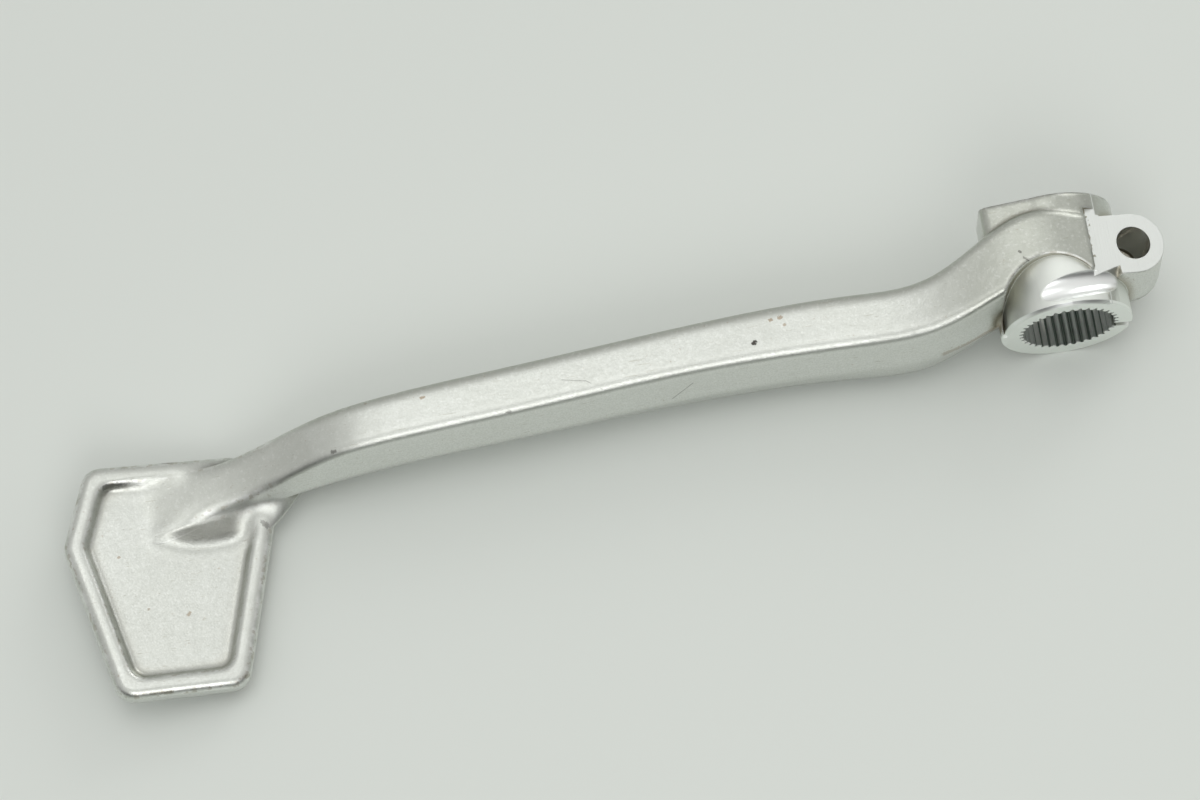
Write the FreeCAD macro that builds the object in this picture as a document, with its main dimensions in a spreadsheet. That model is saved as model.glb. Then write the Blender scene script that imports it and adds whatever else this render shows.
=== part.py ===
"""Motorbike brake pedal lever: one light-alloy forging, in millimetres.

The bore axis is Y, with +Y inboard. +X runs from the foot pad to the pinch ear, and +Z is up as the
pedal lies on its foot side. The origin is on the bore axis, half way along the boss. The pinch bolt,
its slot and the foot pad are square to the die direction, which leans from Z towards +X by die_tilt.
"""
import FreeCAD, Part
import math
import os
import Sketcher

NODE = "brake_pedal"
LEVEL_TOLERANCE = 0.01

# Driving sizes: name, millimetres or degrees, meaning
SIZES = [
    ("die_tilt", 11.0, "lean of the die direction from Z towards +X"),
    ("bore_tip_radius", 11.0, "bore axis to the tips of the serrations"),
    ("tooth_count", 36, "serrations round the bore"),
    ("tooth_depth", 1.0, "height of a serration"),
    ("tooth_land", 0.7, "flat on the tip of a serration"),
    ("groove_floor", 0.35, "flat on the floor between serrations"),
    ("boss_length", 28.5, "boss along the bore axis"),
    ("boss_wall", 3.85, "boss wall outside the serrations"),
    ("boss_shift", 0.5, "boss centre from the bore axis, towards the arm"),
    ("ledge_length", 9.0, "square-cornered inboard end of the boss, along the bore axis"),
    ("ledge_reach", 17.4, "bore axis to that square corner"),
    ("ledge_drop", 2.6, "fall of the ledge's top from the boss to its corner"),
    ("ledge_corner", 2.5, "rounding of that square corner"),
    ("collar_wall", 3.4, "wall of the turned outboard collar"),
    ("collar_bevel", 0.8, "bevel of the collar's end face"),
    ("relief_radius", 12.5, "round relief over the collar"),
    ("relief_shift", 3.5, "relief centre from the bore axis, towards the arm"),
    ("relief_inset", 0.65, "relief centre from the outboard end face"),
    ("scoop_radius", 3.8, "hollow between the collar and the ear"),
    ("scoop_sweep", 30.0, "radius that the floor of the hollow is swept round"),
    ("scoop_depth", 1.8, "hollow below the collar's surface"),
    ("scoop_lean", 78.0, "middle of the hollow round the bore axis, from +X"),
    ("scoop_half", 20.0, "half the sweep of the hollow"),
    ("scoop_yaw", 6.0, "turn of the hollow about Z"),
    ("scoop_inset", 4.2, "middle of the hollow from the outboard end face"),
    ("bolt_radius", 4.15, "pinch bolt hole"),
    ("bolt_reach", 15.2, "bore axis to the pinch bolt axis"),
    ("ear_wall", 3.15, "ear metal round the pinch bolt hole"),
    ("ear_inboard", 0.75, "pinch bolt axis inboard of the boss's middle"),
    ("ear_draft", 11.0, "draft of the ear's sides"),
    ("ear_drop", 11.0, "lower jaw below the bore axis"),
    ("seat_height", 13.8, "milled bolt seat above the bore axis"),
    ("seat_edge", 4.0, "wall of the milled seat from the bore axis"),
    ("seat_margin", 2.2, "milled width beyond the ear's sides"),
    ("seat_stock", 1.0, "forged metal milled off the seat"),
    ("slot_width", 2.2, "clamp slot"),
    ("pad_drop", 46.5, "crest of the pad's rim below the bore axis"),
    ("pad_thickness", 6.5, "foot face to the crest of the rim"),
    ("front_inner_reach", 233.2, "pad corner, along the die plane from the bore axis"),
    ("front_inner_side", 11.4, "pad corner, outboard of the boss's middle"),
    ("rear_inner_reach", 195.8, "pad corner, along the die plane"),
    ("rear_inner_side", 11.4, "pad corner, outboard"),
    ("rear_outer_reach", 189.0, "pad corner, along the die plane"),
    ("rear_outer_side", 28.0, "pad corner, outboard"),
    ("end_rear_reach", 199.7, "pad corner, along the die plane"),
    ("end_rear_side", 69.2, "pad corner, outboard"),
    ("end_front_reach", 230.2, "pad corner, along the die plane"),
    ("end_front_side", 69.9, "pad corner, outboard"),
    ("front_outer_reach", 240.0, "pad corner, along the die plane"),
    ("front_outer_side", 31.0, "pad corner, outboard"),
    ("pad_corner", 5.0, "rounding of the pad's corners"),
    ("pad_round", 2.2, "rounding of the pad's outer edges"),
    ("rim_width", 4.3, "pad edge to the edge of the recess"),
    ("recess_depth", 2.5, "recess below the crest of the rim"),
    ("recess_draft", 32.0, "slope of the recess's wall"),
    ("recess_corner", 4.5, "rounding of the recess's corners"),
    ("recess_round", 1.4, "rounding of the recess's edges"),
    ("parting_land", 0.8, "trimmed land along the arm's parting line"),
    ("arm_round", 2.2, "rounding of the arm's upper edges"),
    ("arm_bevel", 1.5, "bevel of the arm's lower edges"),
    ("flank_hollow", 9.5, "hollow of the flank that spreads the arm's root over the pad"),
    ("flank_sink", 1.5, "depth of that flank's root in the pad"),
]

# Stations of the arm, from the milled seat to where it fades into the pad: along X, centre in Y,
# parting line in Z, rise above it, drop below it, half of the top flat, half of the base, half width
STATIONS = {
    "seat": (10.5, 1.6, 0.0, 12.5, 6.0, 5.4, 5.6, 7.6),
    "crown": (-1.0, 1.7, 0.0, 16.6, 8.0, 6.9, 7.3, 9.8),
    "shoulder": (-12.0, 0.7, 0.0, 16.0, 9.0, 6.5, 7.0, 10.2),
    "sweep": (-22.0, -3.4, -1.0, 14.6, 9.5, 5.6, 6.2, 9.7),
    "heel": (-33.0, -6.9, -2.6, 13.2, 9.0, 4.7, 6.7, 9.0),
    "waist": (-50.0, -6.9, -4.0, 12.0, 8.0, 4.6, 6.9, 8.9),
    "middle": (-90.0, -7.7, -4.0, 12.0, 8.0, 4.1, 5.7, 8.4),
    "fore": (-134.0, -11.2, -4.0, 12.0, 8.0, 4.0, 4.7, 8.3),
    "wrist": (-165.0, -13.7, -4.1, 11.9, 8.0, 3.8, 4.5, 8.0),
    "bend": (-178.0, -15.1, -4.8, 10.9, 7.7, 3.7, 4.5, 7.9),
    "fall": (-189.0, -16.5, -7.0, 8.0, 6.2, 3.8, 4.4, 7.6),
    "root": (-199.0, -18.3, -9.3, 6.2, 4.0, 3.7, 3.9, 6.6),
    "ridge": (-210.0, -20.3, -9.0, 4.0, 2.2, 4.0, 4.2, 7.0),
    "fade": (-226.0, -23.7, -7.9, 1.5, 2.0, 4.4, 4.4, 6.8),
}
STATION_FIELDS = ("x", "y", "z", "rise", "drop", "flat", "base", "half")

# Stations of the flank between the arm's root and the pad's floor: along X, its top edge in Y and Z,
# its foot in Y and Z
FLANKS = {
    "spring": (-180.0, -19.5, -2.5, -21.5, -7.0),
    "web": (-189.0, -20.5, -3.0, -23.9, -9.5),
    "brim": (-196.0, -21.8, -3.2, -30.5, -9.6),
    "spread": (-203.0, -22.9, -4.4, -32.6, -10.4),
    "valley": (-210.0, -24.8, -5.6, -33.5, -9.1),
    "shallow": (-218.0, -27.0, -6.3, -33.0, -7.6),
    "tip": (-225.0, -28.3, -6.1, -30.3, -6.5),
}
FLANK_FIELDS = ("x", "top_side", "top_level", "foot_side", "foot_level")

PAD_CORNERS = ("front_inner", "rear_inner", "rear_outer", "end_rear", "end_front", "front_outer")

doc = FreeCAD.newDocument(NODE)
sheet = doc.addObject("Spreadsheet::Sheet", "Sizes")


def fill_sheet():
    rows = list(SIZES)
    for table, fields in ((STATIONS, STATION_FIELDS), (FLANKS, FLANK_FIELDS)):
        for station, values in table.items():
            for field, value in zip(fields, values):
                rows.append((f"{station}_{field}", value, f"station {station}: {field}"))
    for row, (alias, value, meaning) in enumerate(rows, start=1):
        sheet.set(f"A{row}", meaning)
        sheet.set(f"B{row}", str(value))
        sheet.setAlias(f"B{row}", alias)
    doc.recompute()


def size(alias):
    return float(sheet.get(alias))


fill_sheet()

TILT = math.radians(size("die_tilt"))
DIE = FreeCAD.Vector(math.sin(TILT), 0, math.cos(TILT))
ROOT_RADIUS = size("bore_tip_radius") + size("tooth_depth")
BOSS_RADIUS = ROOT_RADIUS + size("boss_wall")
ROOT_TEXT = "(Sizes.bore_tip_radius + Sizes.tooth_depth)"
BOSS_TEXT = f"({ROOT_TEXT} + Sizes.boss_wall)"
COLLAR_RADIUS = ROOT_RADIUS + size("collar_wall")
COLLAR_TEXT = f"({ROOT_TEXT} + Sizes.collar_wall)"
EAR_TEXT = "(Sizes.bolt_radius + Sizes.ear_wall)"
THROUGH = 4 * BOSS_RADIUS
THROUGH_TEXT = f"4 * {BOSS_TEXT}"


def new_body(name):
    return doc.addObject("PartDesign::Body", name)


# Sketch helpers

def origin_feature(body, role):
    for feature in body.Origin.OriginFeatures:
        if feature.Role == role:
            return feature
    raise ValueError(role)


def new_sketch(body, name, role):
    sketch = body.newObject("Sketcher::SketchObject", name)
    sketch.AttachmentSupport = [(origin_feature(body, role), "")]
    sketch.MapMode = "FlatFace"
    return sketch


def die_sketch(body, name, level_text):
    """A sketch square to the die direction, at a level along it from the bore axis."""
    sketch = new_sketch(body, name, "XY_Plane")
    sketch.AttachmentOffset = FreeCAD.Placement(
        FreeCAD.Vector(), FreeCAD.Rotation(FreeCAD.Vector(0, 1, 0), size("die_tilt")))
    sketch.setExpression("AttachmentOffset.Rotation.Angle", "Sizes.die_tilt * 1 deg")
    sketch.setExpression("AttachmentOffset.Base.x", f"({level_text}) * sin(Sizes.die_tilt * 1 deg)")
    sketch.setExpression("AttachmentOffset.Base.z", f"({level_text}) * cos(Sizes.die_tilt * 1 deg)")
    return sketch


def bind(sketch, constraint, text):
    """Adds a dimension and ties it to the sheet."""
    index = sketch.addConstraint(constraint)
    sketch.setExpression(f"Constraints[{index}]", text)


def place(sketch, geometry, end, x, x_text, y, y_text):
    """Ties one end of a line or arc to its place from the sketch's origin."""
    bind(sketch, Sketcher.Constraint("DistanceX", -1, 1, geometry, end, x), x_text)
    bind(sketch, Sketcher.Constraint("DistanceY", -1, 1, geometry, end, y), y_text)


def polygon(sketch, points):
    """A closed outline through points, each given as x, its text, y, its text."""
    count = len(points)
    for i, (x, _, y, _) in enumerate(points):
        nx, _, ny, _ = points[(i + 1) % count]
        sketch.addGeometry(Part.LineSegment(FreeCAD.Vector(x, y, 0), FreeCAD.Vector(nx, ny, 0)))
    for i in range(count):
        sketch.addConstraint(Sketcher.Constraint("Coincident", i, 2, (i + 1) % count, 1))
    for i, (x, x_text, y, y_text) in enumerate(points):
        place(sketch, i, 1, x, x_text, y, y_text)


def box_outline(sketch, x0, x0_text, x1, x1_text, y0, y0_text, y1, y1_text):
    polygon(sketch, [
        (x0, x0_text, y0, y0_text),
        (x1, x1_text, y0, y0_text),
        (x1, x1_text, y1, y1_text),
        (x0, x0_text, y1, y1_text),
    ])


def circle_outline(sketch, x, x_text, y, y_text, radius, radius_text):
    sketch.addGeometry(Part.Circle(FreeCAD.Vector(x, y, 0), FreeCAD.Vector(0, 0, 1), radius))
    place(sketch, 0, 3, x, x_text, y, y_text)
    bind(sketch, Sketcher.Constraint("Radius", 0, radius), radius_text)


# Feature helpers

def add_pad(body, name, sketch, length_text, reverse=False, draft_text=None, middle=False):
    pad = body.newObject("PartDesign::Pad", name)
    pad.Profile = sketch
    pad.Reversed = reverse
    if middle:
        pad.SideType = "Symmetric"
    pad.setExpression("Length", length_text)
    if draft_text:
        pad.setExpression("TaperAngle", draft_text)
    doc.recompute()
    return pad


def join(name, base, tool):
    whole = doc.addObject("Part::Fuse", name)
    whole.Base = base
    whole.Tool = tool
    doc.recompute()
    return whole


def overlap(name, base, tool):
    shared = doc.addObject("Part::Common", name)
    shared.Base = base
    shared.Tool = tool
    doc.recompute()
    return shared


def cut_away(name, base, tool):
    rest = doc.addObject("Part::Cut", name)
    rest.Base = base
    rest.Tool = tool
    doc.recompute()
    if rest.Shape.Volume >= base.Shape.Volume:
        raise RuntimeError(f"{name} cuts nothing")
    return rest


def add_pocket(body, name, sketch, length_text, draft_text):
    before = body.Shape.Volume
    pocket = body.newObject("PartDesign::Pocket", name)
    pocket.Profile = sketch
    pocket.setExpression("Length", length_text)
    pocket.setExpression("TaperAngle", draft_text)
    doc.recompute()
    if body.Shape.Volume >= before:
        raise RuntimeError(f"{name} cuts nothing")
    return pocket


def add_fillet(body, name, base, edges, radius_text):
    fillet = body.newObject("PartDesign::Fillet", name)
    fillet.Base = (base, edges)
    fillet.setExpression("Radius", radius_text)
    doc.recompute()
    return fillet


def edges_between(shape, low, high):
    """Names of the edges that run from one level along the die direction to another."""
    names = []
    for i, edge in enumerate(shape.Edges, start=1):
        levels = sorted(vertex.Point.dot(DIE) for vertex in edge.Vertexes)
        if len(levels) != 2:
            continue
        if abs(levels[0] - low) < LEVEL_TOLERANCE and abs(levels[1] - high) < LEVEL_TOLERANCE:
            names.append(f"Edge{i}")
    return names


# Foot pad: a plate with a raised rim on the side away from the foot

def make_pad():
    foot_pad = new_body("foot_pad")
    crest = -size("pad_drop")
    foot = crest - size("pad_thickness")
    floor = crest - size("recess_depth")
    outline = die_sketch(foot_pad, "pad_outline", "-Sizes.pad_drop")
    corners = []
    for corner in PAD_CORNERS:
        reach, side = f"{corner}_reach", f"{corner}_side"
        corners.append((-size(reach), f"-Sizes.{reach}", -size(side), f"-Sizes.{side}"))
    polygon(outline, corners)
    plate = add_pad(foot_pad, "pad_plate", outline, "Sizes.pad_thickness", reverse=True)
    corner_edges = edges_between(plate.Shape, foot, crest)
    rounded = add_fillet(foot_pad, "pad_corners", plate, corner_edges, "Sizes.pad_corner")
    edges = edges_between(rounded.Shape, crest, crest) + edges_between(rounded.Shape, foot, foot)
    plate = add_fillet(foot_pad, "pad_edges", rounded, edges, "Sizes.pad_round")

    recess = die_sketch(foot_pad, "recess_outline", "-Sizes.pad_drop")
    rounded_inset(recess, outline, [(x, y) for x, _, y, _ in corners])
    hollow = add_pocket(foot_pad, "recess", recess, "Sizes.recess_depth", "-Sizes.recess_draft")
    loops = edges_between(hollow.Shape, floor, floor)
    loops += [name for name in edges_between(hollow.Shape, crest, crest) if inside_rim(hollow, name)]
    add_fillet(foot_pad, "recess_edges", hollow, loops, "Sizes.recess_round")
    return foot_pad


def rounded_inset(sketch, outline, points):
    """An outline that keeps rim_width from another one all round, with round corners."""
    inset, radius = size("rim_width"), size("recess_corner")
    count = len(points)
    inner = inset_points(points, inset)
    rounded = inset_points(points, inset + radius)
    heading = []
    for i, (x, y) in enumerate(inner):
        nx, ny = inner[(i + 1) % count]
        heading.append(math.atan2(ny - y, nx - x))
    ends = []
    for i, (x, y) in enumerate(rounded):
        sides = (heading[i - 1], heading[i])
        ends.append([(x - radius * math.sin(a), y + radius * math.cos(a)) for a in sides])
    for i in range(count):
        start, end = ends[i][1], ends[(i + 1) % count][0]
        sketch.addGeometry(Part.LineSegment(FreeCAD.Vector(*start, 0), FreeCAD.Vector(*end, 0)))
    for i, (x, y) in enumerate(rounded):
        turn = Part.Circle(FreeCAD.Vector(x, y, 0), FreeCAD.Vector(0, 0, 1), radius)
        first = math.atan2(ends[i][1][1] - y, ends[i][1][0] - x)
        last = math.atan2(ends[i][0][1] - y, ends[i][0][0] - x)
        sketch.addGeometry(Part.ArcOfCircle(turn, first, last))
    for i in range(count):
        sketch.addExternal(outline.Name, f"Edge{i + 1}")
    for i in range(count):
        outer = -3 - i
        sketch.addConstraint(Sketcher.Constraint("Tangent", i - 1 if i else count - 1, 2, count + i, 2))
        sketch.addConstraint(Sketcher.Constraint("Tangent", count + i, 1, i, 1))
        sketch.addConstraint(Sketcher.Constraint("Parallel", i, outer))
        bind(sketch, Sketcher.Constraint("Distance", i, 1, outer, inset), "Sizes.rim_width")
        bind(sketch, Sketcher.Constraint("Radius", count + i, radius), "Sizes.recess_corner")


def inset_points(points, distance):
    """Corners of a convex outline, drawn clockwise, moved inwards from both their sides."""
    count = len(points)
    moved = []
    for i, (x, y) in enumerate(points):
        px, py = points[i - 1]
        nx, ny = points[(i + 1) % count]
        before = math.atan2(y - py, x - px)
        after = math.atan2(ny - y, nx - x)
        middle = (before + after) / 2 if abs(after - before) < math.pi else (before + after) / 2 + math.pi
        reach = distance / abs(math.cos((after - before) / 2))
        moved.append((x + reach * math.sin(middle), y - reach * math.cos(middle)))
    return moved


def inside_rim(feature, name):
    """Whether an edge belongs to the recess's own outline and not to the plate's."""
    middle = feature.Shape.getElement(name).CenterOfMass
    along = middle.dot(FreeCAD.Vector(math.cos(TILT), 0, -math.sin(TILT)))
    clearance = size("pad_round") + LEVEL_TOLERANCE
    outer = [(-size(f"{corner}_reach"), -size(f"{corner}_side")) for corner in PAD_CORNERS]
    for i, (x, y) in enumerate(outer):
        nx, ny = outer[(i + 1) % len(outer)]
        span = math.hypot(nx - x, ny - y)
        distance = abs((ny - y) * (along - x) - (nx - x) * (middle.y - y)) / span
        if distance < clearance:
            return False
    return True


# Arm: sections with rounded upper edges and a trimmed parting line, lofted from the boss to the pad

def tangent_point(flat, height, radius, half, land):
    """Where the side of a section leaves the rounding beside its flat."""
    centre_y = height - radius
    dx = half - flat
    dy = land - centre_y
    angle = math.atan2(dy, dx) + math.acos(radius / math.hypot(dx, dy))
    return flat + radius * math.cos(angle), centre_y + radius * math.sin(angle), angle


def arm_section(body, station):
    values = {field: size(f"{station}_{field}") for field in STATION_FIELDS}
    name = {field: f"Sizes.{station}_{field}" for field in STATION_FIELDS}
    radius = size("arm_round")
    land = size("parting_land") / 2
    flat, base, half = values["flat"], values["base"], values["half"]
    rise, drop = values["rise"], values["drop"]
    sketch = new_sketch(body, f"arm_{station}", "YZ_Plane")
    sketch.setExpression("AttachmentOffset.Base.x", name["y"])
    sketch.setExpression("AttachmentOffset.Base.y", name["z"])
    sketch.setExpression("AttachmentOffset.Base.z", name["x"])

    top_x, top_y, top_angle = tangent_point(flat, rise, radius, half, land)
    low_x, low_y = base + size("arm_bevel"), drop - size("arm_bevel")

    def line(x0, y0, x1, y1):
        sketch.addGeometry(Part.LineSegment(FreeCAD.Vector(x0, y0, 0), FreeCAD.Vector(x1, y1, 0)))

    def arc(x, y, start, end):
        round_edge = Part.Circle(FreeCAD.Vector(x, y, 0), FreeCAD.Vector(0, 0, 1), radius)
        sketch.addGeometry(Part.ArcOfCircle(round_edge, start, end))

    line(-flat, rise, flat, rise)
    arc(flat, rise - radius, top_angle, math.pi / 2)
    line(top_x, top_y, half, land)
    line(half, land, half, -land)
    line(half, -land, low_x, -low_y)
    line(low_x, -low_y, base, -drop)
    line(base, -drop, -base, -drop)
    line(-base, -drop, -low_x, -low_y)
    line(-low_x, -low_y, -half, -land)
    line(-half, -land, -half, land)
    line(-half, land, -top_x, top_y)
    arc(-flat, rise - radius, math.pi / 2, math.pi - top_angle)

    for joint in [(0, 2, 1, 2), (1, 1, 2, 1), (10, 2, 11, 2), (11, 1, 0, 1)]:
        sketch.addConstraint(Sketcher.Constraint("Tangent", *joint))
    for side in range(2, 10):
        sketch.addConstraint(Sketcher.Constraint("Coincident", side, 2, side + 1, 1))
    for mirrored in [(0, 1, 0, 2), (3, 1, 9, 2), (3, 2, 9, 1), (5, 1, 7, 2), (6, 1, 6, 2)]:
        sketch.addConstraint(Sketcher.Constraint("Symmetric", *mirrored, -2))
    sketch.addConstraint(Sketcher.Constraint("Vertical", 3))
    sketch.addConstraint(Sketcher.Constraint("Equal", 1, 11))
    place(sketch, 0, 2, flat, name["flat"], rise, name["rise"])
    place(sketch, 3, 1, half, name["half"], land, "Sizes.parting_land / 2")
    bind(sketch, Sketcher.Constraint("DistanceY", -1, 1, 3, 2, -land), "-Sizes.parting_land / 2")
    place(sketch, 5, 1, low_x, f"{name['base']} + Sizes.arm_bevel", -low_y,
          f"Sizes.arm_bevel - {name['drop']}")
    place(sketch, 6, 1, base, name["base"], -drop, f"-{name['drop']}")
    bind(sketch, Sketcher.Constraint("Radius", 1, radius), "Sizes.arm_round")
    return sketch


def make_arm():
    arm = new_body("arm")
    sections = [arm_section(arm, station) for station in STATIONS]
    doc.recompute()
    loft = arm.newObject("PartDesign::AdditiveLoft", "arm_loft")
    loft.Profile = sections[0]
    loft.Sections = sections[1:]
    doc.recompute()
    return arm


def flank_section(body, station):
    """A wedge with a hollow slope, from the arm's near edge down to its foot on the pad."""
    values = {field: size(f"{station}_{field}") for field in FLANK_FIELDS}
    name = {field: f"Sizes.{station}_{field}" for field in FLANK_FIELDS}
    radius, sink = size("flank_hollow"), size("flank_sink")
    top = FreeCAD.Vector(values["top_side"], values["top_level"], 0)
    foot = FreeCAD.Vector(values["foot_side"], values["foot_level"], 0)
    root = FreeCAD.Vector(top.x, foot.y - sink, 0)
    toe = FreeCAD.Vector(foot.x, foot.y - sink, 0)
    chord = top - foot
    outward = FreeCAD.Vector(-chord.y, chord.x, 0).normalize()
    centre = (top + foot) * 0.5 + outward * math.sqrt(radius ** 2 - chord.Length ** 2 / 4)
    start, end = foot - centre, top - centre
    sketch = new_sketch(body, f"flank_{station}", "YZ_Plane")
    sketch.setExpression("AttachmentOffset.Base.z", name["x"])
    slope = Part.Circle(centre, FreeCAD.Vector(0, 0, 1), radius)
    sketch.addGeometry(Part.ArcOfCircle(slope, math.atan2(start.y, start.x), math.atan2(end.y, end.x)))
    for first, last in ((top, root), (root, toe), (toe, foot)):
        sketch.addGeometry(Part.LineSegment(first, last))
    for joint in [(0, 2, 1, 1), (1, 2, 2, 1), (2, 2, 3, 1), (3, 2, 0, 1)]:
        sketch.addConstraint(Sketcher.Constraint("Coincident", *joint))
    sunk = f"{name['foot_level']} - Sizes.flank_sink"
    place(sketch, 1, 1, top.x, name["top_side"], top.y, name["top_level"])
    place(sketch, 2, 1, root.x, name["top_side"], root.y, sunk)
    place(sketch, 3, 1, toe.x, name["foot_side"], toe.y, sunk)
    place(sketch, 3, 2, foot.x, name["foot_side"], foot.y, name["foot_level"])
    bind(sketch, Sketcher.Constraint("Radius", 0, radius), "Sizes.flank_hollow")
    return sketch


def make_flank():
    flank = new_body("flank")
    sections = [flank_section(flank, station) for station in FLANKS]
    doc.recompute()
    loft = flank.newObject("PartDesign::AdditiveLoft", "flank_loft")
    loft.Profile = sections[0]
    loft.Sections = sections[1:]
    doc.recompute()
    return flank


# Boss: round forging with a square-cornered inboard end and a turned outboard collar

def make_boss():
    boss = new_body("boss")
    ring = new_sketch(boss, "boss_outline", "XZ_Plane")
    circle_outline(ring, -size("boss_shift"), "-Sizes.boss_shift", 0.0, "0", BOSS_RADIUS, BOSS_TEXT)
    add_pad(boss, "boss_ring", ring, "Sizes.boss_length", middle=True)

    ledge = new_sketch(boss, "ledge_outline", "XZ_Plane")
    ledge.setExpression("AttachmentOffset.Base.z", "-Sizes.boss_length / 2")
    left, middle = -size("ledge_reach"), -size("boss_shift")
    top = BOSS_RADIUS - size("ledge_drop")
    polygon(ledge, [
        (middle, "-Sizes.boss_shift", 0.0, "0"),
        (middle, "-Sizes.boss_shift", BOSS_RADIUS, BOSS_TEXT),
        (left, "-Sizes.ledge_reach", top, f"{BOSS_TEXT} - Sizes.ledge_drop"),
        (left, "-Sizes.ledge_reach", 0.0, "0"),
    ])
    block = add_pad(boss, "ledge", ledge, "Sizes.ledge_length")
    corner = []
    for i, edge in enumerate(block.Shape.Edges, start=1):
        points = [vertex.Point for vertex in edge.Vertexes]
        if all(math.hypot(p.x - left, p.z - top) < LEVEL_TOLERANCE for p in points):
            corner.append(f"Edge{i}")
    add_fillet(boss, "ledge_round", block, corner, "Sizes.ledge_corner")
    return boss


def make_relief():
    relief = new_body("relief")
    outline = new_sketch(relief, "relief_outline", "XY_Plane")
    circle_outline(
        outline, -size("relief_shift"), "-Sizes.relief_shift", size("relief_inset") - size("boss_length") / 2,
        "Sizes.relief_inset - Sizes.boss_length / 2", size("relief_radius"), "Sizes.relief_radius")
    add_pad(relief, "relief_column", outline, THROUGH_TEXT)
    return relief


def make_collar():
    collar = new_body("collar")
    face, face_text = -size("boss_length") / 2, "-Sizes.boss_length / 2"
    bevel, bevel_text = size("collar_bevel"), "Sizes.collar_bevel"
    profile = new_sketch(collar, "collar_profile", "YZ_Plane")
    polygon(profile, [
        (face, face_text, 0.0, "0"),
        (face, face_text, COLLAR_RADIUS - bevel, f"{COLLAR_TEXT} - {bevel_text}"),
        (face + bevel, f"{face_text} + {bevel_text}", COLLAR_RADIUS, COLLAR_TEXT),
        (-face, f"-({face_text})", COLLAR_RADIUS, COLLAR_TEXT),
        (-face, f"-({face_text})", 0.0, "0"),
    ])
    turned = collar.newObject("PartDesign::Revolution", "turned_collar")
    turned.Profile = profile
    turned.ReferenceAxis = (profile, ["H_Axis"])
    turned.Angle = 360
    doc.recompute()
    return collar


def make_scoop():
    scoop = doc.addObject("Part::Torus", "scoop")
    scoop.setExpression("Radius1", "Sizes.scoop_sweep + Sizes.scoop_radius")
    scoop.setExpression("Radius2", "Sizes.scoop_radius")
    scoop.setExpression("Angle3", "2 * Sizes.scoop_half")
    lean = math.radians(size("scoop_lean"))
    back = COLLAR_RADIUS - size("scoop_depth") - size("scoop_sweep")
    side = size("scoop_inset") - size("boss_length") / 2
    upright = FreeCAD.Rotation(FreeCAD.Vector(1, 0, 0), 90)
    first = FreeCAD.Rotation(FreeCAD.Vector(0, 0, 1), size("scoop_lean") - size("scoop_half"))
    yaw = FreeCAD.Rotation(FreeCAD.Vector(0, 0, 1), size("scoop_yaw"))
    centre = FreeCAD.Vector(back * math.cos(lean), side, back * math.sin(lean))
    scoop.Placement = FreeCAD.Placement(centre, yaw * upright * first)
    doc.recompute()
    return scoop


# Pinch ear: two jaws with drafted sides, a milled seat, a slot and the bolt hole

def ear_outline(body, name, level_text):
    sketch = die_sketch(body, name, level_text)
    reach = size("bolt_reach")
    radius = size("bolt_radius") + size("ear_wall")
    middle = size("ear_inboard")
    low, low_text = middle - radius, f"Sizes.ear_inboard - {EAR_TEXT}"
    high, high_text = middle + radius, f"Sizes.ear_inboard + {EAR_TEXT}"
    sketch.addGeometry(Part.LineSegment(FreeCAD.Vector(0, high, 0), FreeCAD.Vector(0, low, 0)))
    sketch.addGeometry(Part.LineSegment(FreeCAD.Vector(0, low, 0), FreeCAD.Vector(reach, low, 0)))
    end = Part.Circle(FreeCAD.Vector(reach, middle, 0), FreeCAD.Vector(0, 0, 1), radius)
    sketch.addGeometry(Part.ArcOfCircle(end, -math.pi / 2, math.pi / 2))
    sketch.addGeometry(Part.LineSegment(FreeCAD.Vector(reach, high, 0), FreeCAD.Vector(0, high, 0)))
    for joint in [(0, 2, 1, 1), (1, 2, 2, 1), (2, 2, 3, 1), (3, 2, 0, 1)]:
        sketch.addConstraint(Sketcher.Constraint("Coincident", *joint))
    place(sketch, 0, 1, 0.0, "0", high, high_text)
    place(sketch, 1, 1, 0.0, "0", low, low_text)
    place(sketch, 2, 1, reach, "Sizes.bolt_reach", low, low_text)
    place(sketch, 2, 2, reach, "Sizes.bolt_reach", high, high_text)
    bind(sketch, Sketcher.Constraint("DistanceX", -1, 1, 2, 3, reach), "Sizes.bolt_reach")
    return sketch


def make_jaw(name, level_text, length_text, downwards):
    jaw = new_body(name)
    outline = ear_outline(jaw, f"{name}_outline", level_text)
    add_pad(jaw, f"{name}_block", outline, length_text, reverse=downwards, draft_text="Sizes.ear_draft")
    return jaw


def make_seat():
    seat = new_body("seat")
    outline = die_sketch(seat, "seat_outline", "Sizes.seat_height")
    reach = size("bolt_radius") + size("ear_wall") + size("seat_margin")
    reach_text = f"({EAR_TEXT} + Sizes.seat_margin)"
    middle = size("ear_inboard")
    box_outline(
        outline, size("seat_edge"), "Sizes.seat_edge", THROUGH, THROUGH_TEXT,
        middle - reach, f"Sizes.ear_inboard - {reach_text}",
        middle + reach, f"Sizes.ear_inboard + {reach_text}")
    add_pad(seat, "seat_block", outline, THROUGH_TEXT)
    return seat


# Clamp: the serrated bore, its slot and the bolt hole

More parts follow.
